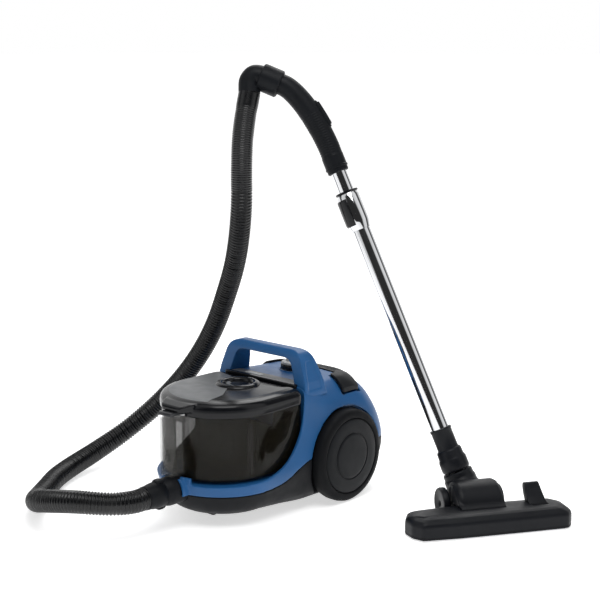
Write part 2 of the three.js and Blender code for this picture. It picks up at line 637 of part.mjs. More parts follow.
const pivotShaft = () => alongX(rod(4, -47, 47, 16)).translate(0, PIVOT.y, PIVOT.z);
const headWheel = (s) => alongX(ring(4.3, 30, Math.min(s * 46.5, s * 60), Math.max(s * 46.5, s * 60), 28))
  .translate(0, PIVOT.y, PIVOT.z);

const buildHead = () => headGroup([
  mesh('neck_elbow', neckElbow(), BLACK()),
  mesh('head_cover', headCover(), BLACK()),
  mesh('head_hood', headHood(), BLACK()),
  mesh('sole_plate', solePlate(), STEEL()),
  mesh('brush_front', brushStrips()[0], RUBBER()),
  mesh('brush_rear', brushStrips()[1], RUBBER()),
  mesh('head_bracket', headBracket(), BLACK()),
  mesh('head_pedal', headPedal(), BLACK()),
  mesh('pivot_shaft', pivotShaft(), STEEL()),
  mesh('head_wheel_left', headWheel(-1), BLACK()),
  mesh('head_wheel_right', headWheel(1), BLACK()),
]);

// ---------------------------------------------------------------- the whole machine
const model = new THREE.Group();
model.add(
  ...buildCanister(), ...buildRearWheel('right', 1), ...buildRearWheel('left', -1), ...buildCastor(),
  ...buildBin(), ...buildControls(), ...buildHose(), buildWand(), buildHead(),
);

// The origin is under the middle of everything but the hose, at floor level.
model.updateMatrixWorld(true);
const extent = new THREE.Box3();
model.traverse((part) => {
  if (part.isMesh && part.name !== 'hose_tube') extent.expandByObject(part, true);
});
const middle = extent.getCenter(new THREE.Vector3());
model.position.set(-middle.x, -middle.y, 0);
export default model;
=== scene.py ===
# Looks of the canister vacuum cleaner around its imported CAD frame.
# Shapes are written in millimetres in the canister's own frame: x to its right, -y its front, z up.
import json
import math
import bmesh
import bpy
from mathutils import Matrix, Vector

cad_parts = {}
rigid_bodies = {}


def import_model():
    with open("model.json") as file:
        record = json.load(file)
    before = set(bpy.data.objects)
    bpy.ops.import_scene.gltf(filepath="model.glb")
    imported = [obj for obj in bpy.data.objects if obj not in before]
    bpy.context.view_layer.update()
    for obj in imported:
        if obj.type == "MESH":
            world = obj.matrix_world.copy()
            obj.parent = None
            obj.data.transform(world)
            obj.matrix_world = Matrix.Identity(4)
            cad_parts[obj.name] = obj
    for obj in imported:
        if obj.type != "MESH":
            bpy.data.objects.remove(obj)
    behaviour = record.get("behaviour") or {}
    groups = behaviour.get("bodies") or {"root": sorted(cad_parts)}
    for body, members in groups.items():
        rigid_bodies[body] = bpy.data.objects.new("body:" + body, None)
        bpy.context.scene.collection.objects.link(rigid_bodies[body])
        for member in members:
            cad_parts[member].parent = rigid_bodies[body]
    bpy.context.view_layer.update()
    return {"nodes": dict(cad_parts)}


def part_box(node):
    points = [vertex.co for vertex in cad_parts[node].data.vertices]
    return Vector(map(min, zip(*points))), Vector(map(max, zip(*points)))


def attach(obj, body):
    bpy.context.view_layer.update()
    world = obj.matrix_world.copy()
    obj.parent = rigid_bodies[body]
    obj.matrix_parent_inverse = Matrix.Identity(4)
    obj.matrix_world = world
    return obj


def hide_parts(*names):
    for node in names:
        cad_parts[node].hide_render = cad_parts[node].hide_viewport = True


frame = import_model()
PI = math.pi

# ---------------------------------------------------------------- where the frame puts things
PAN_LOW, PAN_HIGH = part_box("base_pan")
TYRE_LOW, TYRE_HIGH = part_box("tyre_right")
WHEEL_R = 92
WHEEL_Y = 15              # the wheels' axle, behind the canister's origin
OFFSET = Vector(((PAN_LOW.x + PAN_HIGH.x) / 2, (TYRE_LOW.y + TYRE_HIGH.y) / 2 - WHEEL_Y / 1000, 0))
CAN = Matrix.Translation(OFFSET) @ Matrix.Scale(0.001, 4)
WAND = (CAN @ Matrix.Translation((344, 104.5, 66.9)) @ Matrix.Rotation(math.radians(42.3), 4, "Z")
        @ Matrix.Rotation(math.radians(-12.5), 4, "X"))
HEAD = CAN @ Matrix.Translation((428.4, 60.4, 0)) @ Matrix.Rotation(math.radians(57), 4, "Z")
LEAN = math.radians(21.54)
TUBE = WAND @ Matrix.Rotation(-LEAN, 4, "Y")     # z runs up the straight tube
ELBOW = WAND @ Matrix.Translation((-369, 0, 768)) @ Matrix.Rotation(math.radians(-67), 4, "Y")
HOSE_R = 21
INLET_Z = 74              # height of the hose inlet's axis
INLET_BORE = 28           # radius of the hole for the inlet's collar
BOWL_Y = -190             # axis of the round dust bin
TRAY_Z = 88               # floor of the pocket that the bin stands in
WHEEL_GAP_R = 97          # radius of the wheel wells
KNOB_Y = 14
BUTTON_Y = -150

# ---------------------------------------------------------------- camera
camera = bpy.data.objects.new("camera", bpy.data.cameras.new("camera"))
bpy.context.scene.collection.objects.link(camera)
bpy.context.scene.camera = camera
camera.data.lens = 80.67
camera.data.sensor_width = 36
camera.location = CAN @ Vector((1777, -1921, 885))
look_at = CAN @ Vector((184.5, -175.3, 434))
camera.rotation_euler = (look_at - camera.location).to_track_quat("-Z", "Y").to_euler()


# ---------------------------------------------------------------- materials
def nodes_of(name):
    material = bpy.data.materials.new(name)
    material.use_nodes = True
    tree = material.node_tree
    return material, tree, tree.nodes["Principled BSDF"]


def noise(tree, scale, detail=3.0, stretch=None):
    coords = tree.nodes.new("ShaderNodeTexCoord")
    texture = tree.nodes.new("ShaderNodeTexNoise")
    texture.inputs["Scale"].default_value = scale
    texture.inputs["Detail"].default_value = detail
    if stretch:
        mapping = tree.nodes.new("ShaderNodeMapping")
        mapping.inputs["Scale"].default_value = stretch
        tree.links.new(coords.outputs["Object"], mapping.inputs["Vector"])
        tree.links.new(mapping.outputs["Vector"], texture.inputs["Vector"])
    else:
        tree.links.new(coords.outputs["Object"], texture.inputs["Vector"])
    return texture.outputs["Fac"]


def ramp(tree, source, low, high, start=0.35, end=0.65):
    node = tree.nodes.new("ShaderNodeValToRGB")
    node.color_ramp.elements[0].position = start
    node.color_ramp.elements[1].position = end
    node.color_ramp.elements[0].color = (*low, 1) if isinstance(low, tuple) else (low, low, low, 1)
    node.color_ramp.elements[1].color = (*high, 1) if isinstance(high, tuple) else (high, high, high, 1)
    tree.links.new(source, node.inputs["Fac"])
    return node.outputs["Color"]


def bump(tree, shader, source, strength, distance=0.0002):
    node = tree.nodes.new("ShaderNodeBump")
    node.inputs["Strength"].default_value = strength
    node.inputs["Distance"].default_value = distance
    tree.links.new(source, node.inputs["Height"])
    tree.links.new(node.outputs["Normal"], shader.inputs["Normal"])


def shade(color, factor):
    return tuple(c * factor for c in color)


def plastic(name, color, rough, grain=900.0, grain_strength=0.12, vary=0.08, coat=0.0, shine=0.15):
    """Moulded plastic: a faint cloud in its colour and gloss, and a fine moulded grain."""
    material, tree, shader = nodes_of(name)
    cloud = ramp(tree, noise(tree, 14.0, 4.0), shade(color, 1 - vary), shade(color, 1 + vary))
    tree.links.new(cloud, shader.inputs["Base Color"])
    tree.links.new(ramp(tree, noise(tree, 45.0, 5.0), rough * 0.9, min(rough * 1.12, 1)),
                   shader.inputs["Roughness"])
    bump(tree, shader, noise(tree, grain, 2.0), grain_strength)
    shader.inputs["Coat Weight"].default_value = coat
    shader.inputs["Coat Roughness"].default_value = 0.12
    shader.inputs["Specular IOR Level"].default_value = shine
    return material


def metal(name, color, rough, stretch, streak=0.1):
    """Metal whose polish or brushing runs along one direction."""
    material, tree, shader = nodes_of(name)
    shader.inputs["Metallic"].default_value = 1.0
    lines = noise(tree, 60.0, 4.0, stretch)
    tree.links.new(ramp(tree, lines, shade(color, 1 - streak), color), shader.inputs["Base Color"])
    tree.links.new(ramp(tree, lines, rough, rough * 1.6), shader.inputs["Roughness"])
    return material


def smoky(name, color, alpha, rough=0.04):
    """Tinted clear plastic with faint clouds in its tint and gloss."""
    material, tree, shader = nodes_of(name)
    tree.links.new(ramp(tree, noise(tree, 9.0), shade(color, 0.94), shade(color, 1.06)),
                   shader.inputs["Base Color"])
    tree.links.new(ramp(tree, noise(tree, 30.0), rough * 0.7, rough * 1.5), shader.inputs["Roughness"])
    shader.inputs["Alpha"].default_value = alpha
    shader.inputs["Specular IOR Level"].default_value = 0.2
    return material


def foam(name, color):
    """Open-cell foam with small pores, painted darker inside them as painted shade."""
    material, tree, shader = nodes_of(name)
    coords = tree.nodes.new("ShaderNodeTexCoord")
    cells = tree.nodes.new("ShaderNodeTexVoronoi")
    cells.inputs["Scale"].default_value = 500
    tree.links.new(coords.outputs["Object"], cells.inputs["Vector"])
    # The pores are painted darker: painted shade in their hollows.
    tree.links.new(ramp(tree, cells.outputs["Distance"], shade(color, 0.4), color, 0.1, 0.5),
                   shader.inputs["Base Color"])
    bump(tree, shader, cells.outputs["Distance"], 0.6, 0.0006)
    shader.inputs["Roughness"].default_value = 0.95
    return material


BLUE = plastic("satin_blue", (0.0125, 0.094, 0.262), 0.4, 1100, 0.06, 0.05, coat=0.05, shine=0.3)
BASE = plastic("grained_black", (0.0058, 0.0066, 0.0085), 0.5, 900, 0.2)
GLOSS = plastic("gloss_black", (0.004, 0.0045, 0.006), 0.22, 500, 0.02, coat=0.08, shine=0.25)
# Grey of the lid panel and the button's crescent. On the lid panel the flat grey is partly the panel's own
# colour and partly a painted reflection of the soft light on the gloss black lid.
LID_GREY_AND_REFLECTION = plastic("satin_grey_and_painted_reflection", (0.12, 0.126, 0.133), 0.42, 1000, 0.05, 0.05, shine=0.4)
GRILLE = plastic("dark_grey", (0.0115, 0.0125, 0.0145), 0.42)
HOSE = plastic("hose_black", (0.0026, 0.003, 0.0038), 0.27, 700, 0.05, shine=0.42)
HANDLE = plastic("handle_black", (0.0055, 0.0065, 0.0085), 0.46, 1000, 0.22)
HEAD_BLACK = plastic("head_black", (0.0062, 0.0072, 0.0098), 0.42, 1000, 0.12, shine=0.2)
TYRE = plastic("tyre_black", (0.0045, 0.005, 0.0062), 0.6, 600, 0.25, shine=0.12)
WHEEL = plastic("wheel_black", (0.0062, 0.0072, 0.009), 0.46, 1000, 0.12)
CYCLONE = plastic("cyclone_black", (0.022, 0.023, 0.025), 0.22, 600, 0.06, shine=0.9)
INNER = plastic("inner_grey", (0.10, 0.10, 0.105), 0.5)
RUBBER = plastic("soft_rubber", (0.010, 0.010, 0.011), 0.8)
BOARD = plastic("board_green", (0.02, 0.09, 0.04), 0.45, 300, 0.3)
BRISTLE = plastic("bristle_black", (0.012, 0.012, 0.014), 0.7, 1500, 0.8)
CHROME = metal("chrome", (0.78, 0.79, 0.81), 0.06, (1, 1, 0.05))
STEEL = metal("steel", (0.45, 0.46, 0.48), 0.3, (1, 12, 1))
ALLOY = metal("alloy", (0.62, 0.63, 0.64), 0.35, (1, 1, 8))
SMOKE = smoky("smoky_clear", (0.011, 0.0095, 0.006), 0.5)
CLEAR = smoky("clear_column", (0.10, 0.098, 0.092), 0.28)
TRIM = plastic("trim_grey", (0.075, 0.078, 0.083), 0.35, 1000, 0.05)
SILVER = plastic("silver_grey", (0.32, 0.33, 0.34), 0.3, 1000, 0.05)
LEVER = plastic("lever_grey", (0.03, 0.031, 0.034), 0.25, 500, 0.02, coat=0.3)
FOAM = foam("filter_foam", (0.05, 0.055, 0.06))


# ---------------------------------------------------------------- shape helpers: (points, faces) in mm
def lathe(profile, segments=96, closed=False):
    """Revolves [radius, height] pairs about z. A closed profile makes a ring."""
    points = []
    rows = []
    for radius, height in profile:
        if radius < 1e-6:
            rows.append([len(points)] * segments)
            points.append((0, 0, height))
            continue
        rows.append(list(range(len(points), len(points) + segments)))
        points += [(x, y, height) for x, y in circle(radius, segments)]
    faces = []
    pairs = list(zip(rows, rows[1:])) + ([(rows[-1], rows[0])] if closed else [])
    for low, high in pairs:
        for i in range(segments):
            j = (i + 1) % segments
            corners = [low[i], low[j], high[j], high[i]]
            face = [c for k, c in enumerate(corners) if c not in corners[:k]]
            if len(face) > 2:
                faces.append(face)
    return points, faces


def tube_ring(inner, outer, low, high, lip=1.0, segments=96):
    """A sleeve with rounded lips."""
    return lathe([(inner, low + lip), (inner + lip, low), (outer - lip, low), (outer, low + lip),
                  (outer, high - lip), (outer - lip, high), (inner + lip, high), (inner, high - lip)],
                 segments, closed=True)


def loft(loops):
    """Joins closed loops of points, all of one count, and closes both ends."""
    count = len(loops[0])
    points = [tuple(p) for loop in loops for p in loop]
    faces = []
    for k in range(len(loops) - 1):
        for i in range(count):
            j = (i + 1) % count
            faces.append([k * count + i, k * count + j, (k + 1) * count + j, (k + 1) * count + i])
    for k, step in ((0, -1), (len(loops) - 1, 1)):
        loop = loops[k]
        centre = len(points)
        points.append(tuple(sum(p[c] for p in loop) / count for c in range(3)))
        for i in range(count):
            j = (i + 1) % count
            ends = [k * count + i, k * count + j]
            faces.append([centre, *(ends[::step])])
    return points, faces


def block(x0, x1, y0, y1, z0, z1):
    """A box between three pairs of limits."""
    loop = [(x0, y0), (x1, y0), (x1, y1), (x0, y1)]
    return loft([[(x, y, z) for x, y in loop] for z in (z0, z1)])


def prism(outline, low, high, axes="yzx"):
    """A flat outline pushed along the third axis; axes names where its two coordinates go."""
    order = ["xyz".index(a) for a in axes]
    loops = []
    for depth in (low, high):
        loop = []
        for a, b in outline:
            point = [0, 0, 0]
            point[order[0]], point[order[1]], point[order[2]] = a, b, depth
            loop.append(point)
        loops.append(loop)
    return loft(loops)


def rounded(outline, radius, steps=5):
    """Replaces each corner of a closed outline by a short curve."""
    result = []
    count = len(outline)
    for i in range(count):
        here = Vector(outline[i])
        before = Vector(outline[i - 1]) - here
        after = Vector(outline[(i + 1) % count]) - here
        reach = min(radius, before.length * 0.45, after.length * 0.45)
        start = here + before.normalized() * reach
        end = here + after.normalized() * reach
        for k in range(steps + 1):
            t = k / steps
            result.append(tuple(start * (1 - t) ** 2 + here * 2 * t * (1 - t) + end * t ** 2))
    return result


def smooth_path(points, steps=12, closed=False):
    """Centripetal Catmull-Rom curve through the points."""
    knots = [Vector(p) for p in points]
    if closed:
        knots = [knots[-1], *knots, knots[0], knots[1]]
    else:
        knots = [knots[0] * 2 - knots[1], *knots, knots[-1] * 2 - knots[-2]]
    curve = []
    for i in range(1, len(knots) - 2):
        a, b, c, d = knots[i - 1:i + 3]
        ab, bc, cd = (max((q - p).length ** 0.5, 1e-6) for p, q in ((a, b), (b, c), (c, d)))
        leave = ((b - a) / ab - (c - a) / (ab + bc) + (c - b) / bc) * bc
        arrive = ((c - b) / bc - (d - b) / (bc + cd) + (d - c) / cd) * bc
        for k in range(steps):
            t = k / steps
            curve.append(b * (2 * t ** 3 - 3 * t ** 2 + 1) + leave * (t ** 3 - 2 * t ** 2 + t)
                         + c * (3 * t ** 2 - 2 * t ** 3) + arrive * (t ** 3 - t ** 2))
    return curve if closed else [*curve, knots[-2]]


def even_path(points, spacing):
    """The same curve with points a fixed distance apart."""
    curve = smooth_path(points, 24)
    lengths = [0.0]
    for p, q in zip(curve, curve[1:]):
        lengths.append(lengths[-1] + (q - p).length)
    count = max(2, round(lengths[-1] / spacing))
    result = []
    k = 0
    for i in range(count + 1):
        target = lengths[-1] * i / count
        while k < len(curve) - 2 and lengths[k + 1] < target:
            k += 1
        t = (target - lengths[k]) / max(lengths[k + 1] - lengths[k], 1e-9)
        result.append(curve[k].lerp(curve[k + 1], min(t, 1)))
    return result


def sweep(path, section):
    """Moves section(i, n), a loop of (a, b) offsets, along the path without twisting it."""
    loops = []
    side = Vector((0, 1, 0))
    for i, here in enumerate(path):
        ahead = path[min(i + 1, len(path) - 1)] - path[max(i - 1, 0)]
        ahead.normalize()
        side = (side - ahead * side.dot(ahead)).normalized()
        up = ahead.cross(side)
        loops.append([tuple(here + side * a + up * b) for a, b in section(i, len(path))])
    return loft(loops)


def circle(radius, sides):
    turns = [2 * PI * k / sides for k in range(sides)]
    return [(radius * math.cos(turn), radius * math.sin(turn)) for turn in turns]


def moved(shape, matrix):
    return [tuple(matrix @ Vector(p)) for p in shape[0]], shape[1]


def along_x(shape):
    return moved(shape, Matrix.Rotation(PI / 2, 4, "Y"))


def along_y(shape):
    return moved(shape, Matrix.Rotation(-PI / 2, 4, "X"))


def at(shape, x, y, z):
    return moved(shape, Matrix.Translation((x, y, z)))


def mirrored(points):
    return [(-a, b) for a, b in reversed(points)]


def between(side, near, far):
    """The limits near and far on one side of the middle, the lower one first."""
    return sorted((side * near, side * far))


# ---------------------------------------------------------------- making pieces
def raw_object(name, shape, place):
    points, faces = shape
    data = bpy.data.meshes.new(name)
    data.from_pydata([tuple(place @ Vector(p)) for p in points], [], faces)
    data.validate()
    obj = bpy.data.objects.new(name, data)
    bpy.context.scene.collection.objects.link(obj)
    tidy_normals(obj)
    return obj


def tidy_normals(obj):
    work = bmesh.new()
    work.from_mesh(obj.data)
    bmesh.ops.remove_doubles(work, verts=work.verts, dist=1e-7)
    bmesh.ops.recalc_face_normals(work, faces=work.faces)
    work.to_mesh(obj.data)
    work.free()


def applied(obj):
    """Bakes the modifiers into the mesh."""
    depsgraph = bpy.context.evaluated_depsgraph_get()
    data = bpy.data.meshes.new_from_object(obj.evaluated_get(depsgraph))
    obj.modifiers.clear()
    old = obj.data
    obj.data = data
    bpy.data.meshes.remove(old)


def boolean(obj, operation, shapes, place):
    for shape in shapes:
        other = raw_object("cutter", shape, place)
        modifier = obj.modifiers.new("boolean", "BOOLEAN")
        modifier.operation = operation
        modifier.solver = "MANIFOLD"
        modifier.object = other
        applied(obj)
        bpy.data.objects.remove(other)


def soften(obj, voxel, rounds):
    """Melts joined solids into one skin with softly rounded edges."""
    remesh = obj.modifiers.new("remesh", "REMESH")
    remesh.mode = "VOXEL"
    remesh.voxel_size = voxel / 1000
    remesh.adaptivity = 0
    if rounds:
        relax = obj.modifiers.new("relax", "SMOOTH")
        relax.factor = 0.5
        relax.iterations = rounds
    applied(obj)


def piece(name, shape, material, body, replaces=(), place=CAN, cut=(), add=(), voxel=0, rounds=4,
          bevel=0, segments=3, angle=35):
    """Makes one named piece that rides on a body and may stand in for CAD nodes."""
    obj = raw_object(name, shape, place)
    boolean(obj, "UNION", add, place)
    boolean(obj, "DIFFERENCE", cut, place)
    if voxel:
        soften(obj, voxel, rounds)
    if bevel:
        edge = obj.modifiers.new("bevel", "BEVEL")
        edge.width = bevel / 1000
        edge.segments = segments
        edge.limit_method = "ANGLE"
        edge.angle_limit = math.radians(40)
        applied(obj)
    obj.data.materials.clear()
    obj.data.materials.append(material)
    obj.data.shade_smooth()
    obj.data.set_sharp_from_angle(angle=math.radians(angle))
    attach(obj, body)
    if replaces:
        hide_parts(*replaces)
    return obj


def combined(first, operation, second):
    """A shape made from two others, still in millimetres."""
    obj = raw_object("combined", first, Matrix())
    boolean(obj, operation, [second], Matrix())
    points = [tuple(v.co) for v in obj.data.vertices]
    faces = [list(p.vertices) for p in obj.data.polygons]
    bpy.data.objects.remove(obj)
    return points, faces


def both(first, second):
    return combined(first, "INTERSECT", second)


def without(first, second):
    return combined(first, "DIFFERENCE", second)


# ---------------------------------------------------------------- hose, the one free cord
HOSE_ROUTE = [
    (-63, -49, 790), (-60, -64, 745), (-55, -77, 700), (-52, -83, 648), (-57, -79, 580),
    (-77, -66, 514), (-110, -47, 450), (-148, -33, 386), (-184, -29, 318), (-221, -33, 257),
    (-266, -44, 196), (-320, -68, 132), (-366, -120, 74), (-383, -195, 38), (-372, -268, 24),
    (-343, -328, 22), (-305, -380, 22), (-265, -430, 25), (-215, -472, 40), (-150, -500, 62),
    (-75, -495, 77), (-14, -452, 76), (0, -414, 74), (0, -393.5, 74),
]
HOSE_STEP = 1.05
RIB_DEPTH = 2.5
FINE_DEPTH = 1.5
PLAIN_END = 24            # smooth length next to the elbow
FINE_END = 190            # ribs lie closer together down to here


def rib_phase(distance):
    """Ribs passed on the way down: fine ones near the elbow, then coarser ones."""
    fine, coarse = 4.3, 5.9
    if distance < FINE_END:
        return distance / fine
    return FINE_END / fine + (distance - FINE_END) / coarse


def build_hose():
    path = even_path(HOSE_ROUTE, HOSE_STEP)

    def section(i, count):
        distance = i * HOSE_STEP
        depth = RIB_DEPTH if distance > FINE_END else FINE_DEPTH
        depth *= min(max((distance - PLAIN_END) / 12, 0.0), 1.0)
        wave = 0.5 + 0.5 * math.cos(2 * PI * rib_phase(distance))
        return circle(HOSE_R + 0.2 - depth * (1 - wave ** 0.8), 32)

    hose = piece("hose", sweep(path, section), HOSE, "canister", ("hose_tube",),
                 angle=80)


build_hose()

# ---------------------------------------------------------------- canister body
# height, then half widths at the nose, beside the bin and at the axle, then the tail's place
BODY_LEVELS = [
    (16, 62, 97, 102, 124), (19, 76, 102, 105, 128), (24, 91, 109, 112, 134), (36, 108, 119, 122, 145),
    (60, 120, 126, 130, 153), (88, 128, 131, 136, 156), (120, 126, 131, 138, 152),
    (160, 125, 129, 134, 139), (200, 123, 125, 123, 119), (222, 120, 121, 108, 103),
    (234, 114, 115, 96, 92), (240, 102, 104, 84, 80), (243, 78, 80, 62, 58),
]


def plan_loop(z, front, side, wide, rear, inset=0.0, corner=54):
    """One level of the body: round nose, straight flanks that widen to the axle, rounded tail."""
    half = quarter(front - inset, 0, BOWL_Y, -PI / 2, 26)
    axle = min(WHEEL_Y, rear - corner - 12)
    flank = [(front - inset, BOWL_Y), (front - inset + (side - front) * 0.5, -138), (side - inset, -85),
             ((side + wide) / 2 - inset, (axle - 85) / 2), (wide - inset, axle),
             (wide - inset, rear - corner)]
    half += [(p.x, p.y) for p in smooth_path([(a, b, 0) for a, b in flank], 5)[1:-1]]
    half += quarter(corner - inset, wide - corner, rear - corner, 0, 12)
    return full_loop(half, z)


def quarter(radius, x, y, start, steps):
    """A quarter of a circle about (x, y), beginning at the angle start."""
    turns = [start + PI / 2 * i / steps for i in range(steps + 1)]
    return [(x + radius * math.cos(t), y + radius * math.sin(t)) for t in turns]


def full_loop(half, z):
    """Closes the right half of an outline, which starts on the middle line, with its mirror image."""
    return [(x, y, z) for x, y in half + [(-x, y) for x, y in reversed(half[1:])]]


def smooth_levels(levels, steps):
    """Fills in levels between the given ones so that the flanks curve."""
    result = []
    for k in range(len(levels) - 1):
        a, b, c = levels[max(k - 1, 0)], levels[k], levels[k + 1]
        d = levels[min(k + 2, len(levels) - 1)]
        for i in range(steps):
            t = i / steps
            height = b[0] + (c[0] - b[0]) * t
            row = [height]
            for n in range(1, len(b)):
                slope_b = (c[n] - a[n]) / max(c[0] - a[0], 1) * (c[0] - b[0])
                slope_c = (d[n] - b[n]) / max(d[0] - b[0], 1) * (c[0] - b[0])
                row.append(b[n] * (2 * t ** 3 - 3 * t ** 2 + 1) + slope_b * (t ** 3 - 2 * t ** 2 + t)
                           + c[n] * (3 * t ** 2 - 2 * t ** 3) + slope_c * (t ** 3 - t ** 2))
            result.append(row)
    return [*result, levels[-1]]


def hull(inset=0.0, lift=0.0):
    """The whole outside of the canister, shrunk by inset and raised by lift."""
    return loft([plan_loop(row[0] + lift, *row[1:], inset) for row in smooth_levels(BODY_LEVELS, 5)])


def bin_loop(z, r, rear, corner=14):
    half = quarter(r, 0, BOWL_Y, -PI / 2, 30) + quarter(corner, r - corner, rear - corner, 0, 6)
    return full_loop(half, z)


def bin_solid(levels):
    """A solid with the bin's plan; each level is height, radius, rear edge and corner."""
    return loft([bin_loop(*level) for level in levels])


SHELL_EDGE = [(-400, TRAY_Z), (-240, TRAY_Z), (-185, 95), (-150, 109), (-128, 130), (-108, 165),
              (-91, 236)]
SHELL_FAR = [(-91, 330), (-400, 330)]
SPLIT_LINE = [(-400, 67), (-190, 67), (-150, 75), (-122, 89), (-100, 99), (-80, 104), (200, 104)]


def curved_edge(points, ends):
    """A smooth curve through the middle of an outline, with its far corners kept sharp."""
    curve = smooth_path([(a, b, 0) for a, b in points], 8)
    return [(p.x, p.y) for p in curve] + ends


def front_open():
    """The shell's open front, spared round the inlet's ears."""
    opening = prism(curved_edge(SHELL_EDGE, SHELL_FAR), -300, 300)
    return without(opening, block(-36, 36, -330, -306.5, 80, TRAY_Z + 12))


def rod(radius, low, high, sides=64):
    """A plain cylinder along z."""
    return lathe([(0, low), (radius, low), (radius, high), (0, high)], sides)


def wheel_wells():
    inner, outer = 109, 220
    wells = [along_x(rod(WHEEL_GAP_R, *between(s, inner, outer), 96)) for s in (-1, 1)]
    return [at(well, 0, WHEEL_Y, WHEEL_R) for well in wells]


def inlet_hole():
    return at(along_y(rod(INLET_BORE, -345, -305)), 0, 0, INLET_Z)


def bin_pocket():
    return bin_solid([(TRAY_Z, 122, -87), (400, 122, -87)])


def build_shell():
    below = prism(curved_edge([(y, z + 0.5) for y, z in SPLIT_LINE], [(200, -80), (-400, -80)]),
                  -300, 300)
    pedal_slots = [block(*between(s, 78.4, 117.6), 23.4, 76.6, 196, 300) for s in (-1, 1)]
    knob_hole = at(rod(33, 240, 300), 0, KNOB_Y, 0)
    grille_hole = block(-77, 77, 48, 127, 192, 300)
    cord_hole = at(along_y(rod(8.4, 110, 170)), -58, 0, 122)
    rear_room = block(-98, 98, -72, 118, 20, 190)
    tray_room = block(-98, 98, -260, -60, 20, 84)
    ears = both(at(along_y(rod(33, -326, -290)), 0, 0, INLET_Z), block(-40, 40, -330, -280, 67, TRAY_Z + 10))
    piece("blue_shell", hull(), BLUE, "canister", ("main_shell",), add=[ears],
          cut=[below, bin_pocket(), *wheel_wells(), knob_hole, front_open(), grille_hole, inlet_hole(),
               cord_hole, *pedal_slots, rear_room, tray_room],
          voxel=1.8, rounds=3)


def build_base():
    above = prism(curved_edge(SPLIT_LINE, [(200, 400), (-400, 400)]), -300, 300)
    vents = [block(i * 13 - 3, i * 13 + 3, -60, 20, 0, 30) for i in range(-4, 5)]
    castor_well = at(rod(32, 0, 44), 0, -235, 0)
    room = block(-90, 90, -190, 110, 20, 120)
    piece("black_base", hull(), BASE, "canister", ("base_pan",),
          cut=[above, bin_pocket(), *wheel_wells(), castor_well, inlet_hole(), room, *vents],
          voxel=1.8, rounds=3)


build_shell()
build_base()


HANDLE_OUTER = [(120, 218), (114.5, 250), (100, 290), (90, 303), (74, 308.5)]
HANDLE_INNER = [(94, 212), (86, 246), (75, 280), (68, 288.5), (56, 291.5)]
HANDLE_SIDE = [(-88, 216), (-24, 216), (-33, 262), (-43, 298), (-50, 308.5), (-72, 308.5), (-79, 298)]


def build_handle():
    outer = HANDLE_OUTER + mirrored(HANDLE_OUTER)
    inner = HANDLE_INNER + mirrored(HANDLE_INNER)
    arch = both(prism(rounded(outer, 9), -95, -15, "xzy"), prism(rounded(HANDLE_SIDE, 5), -140, 140))
    hole = prism(rounded(inner, 8), -120, 0, "xzy")
    panel_outline = [(-77, 233), (-37, 233), (-43, 262), (-51, 289), (-68, 289), (-74, 262)]
    panels = []
    for s in (-1, 1):
        skin = [(s * 117.4, 225), (s * 112.9, 250), (s * 98.8, 289), (s * 130, 289), (s * 130, 225)]
        panels.append(both(prism(skin if s > 0 else list(reversed(skin)), -95, -15, "xzy"),
                           prism(rounded(panel_outline, 5), -140, 140)))
    piece("carry_arch", arch, BLUE, "canister", ("carry_handle",),
          cut=[hole, bin_solid([(150, 121, -90.5), (262, 121, -90.5)]), hull(0.6, -0.6), *panels],
          voxel=1.3, rounds=3)


build_handle()


def deck_slab(inset, lift, outline, radius):
    """A slab that follows the top of the body inside a flat outline."""
    return both(hull(inset, lift), prism(rounded(outline, radius), 225, 300, "xyz"))


def build_deck():
    slats = [block(-67, 67, 55 + 6.2 * i, 57.6 + 6.2 * i, 150, 300) for i in range(11)]
    grille = both(hull(-1.4, 1.6), block(-75.4, 75.4, 49.6, 125.4, 190, 300))
    piece("rear_grille", grille, GRILLE, "canister", ("exhaust_grille",),
          cut=[hull(3.2, -3.2), *slats], bevel=0.5, segments=2)
    for s, old, body in ((1, "power_pedal", "pedal_power"), (-1, "rewind_pedal", "pedal_rewind")):
        corners = [(s * 80.5, 25.6), (s * 80.5, 74.4), (s * 115.5, 74.4), (s * 115.5, 25.6)]
        slab = both(hull(-3.6, 3.6), prism(rounded(corners[::s], 5), 190, 300, "xyz"))
        piece(f"deck_pedal_{body}", slab, GRILLE, body, (old,),
              cut=[hull(0.2, -0.2)], bevel=1.2)
    trim = deck_slab(-1.2, 2.4, [(-88, -86), (88, -86), (80, -62), (-80, -62)], 4)
    piece("deck_strip", trim, TRIM, "canister", ("deck_trim",),
          cut=[hull(0.4, -0.4)], bevel=0.8)
    piece("deck_edge", block(-95, 95, -91.3, -82.5, 236, 245.6), GLOSS, "canister",
          bevel=1.8)
    plate = deck_slab(-1.6, 3.0, [(-52, -80), (-8, -80), (-8, -70), (-52, -70)], 2)
    piece("deck_plate", plate, SILVER, "canister", cut=[hull(-0.2, 0.6)], bevel=0.4)


def fluted(radius, low, high, depth=0.9, flutes=24, sides=240):
    """A cylinder with shallow flutes."""
    plan = []
    for k in range(sides):
        turn = 2 * PI * k / sides
        reach = radius - depth * (0.5 - 0.5 * math.cos(flutes * turn))
        plan.append((reach * math.cos(turn), reach * math.sin(turn)))
    return prism(plan, low, high, "xyz")


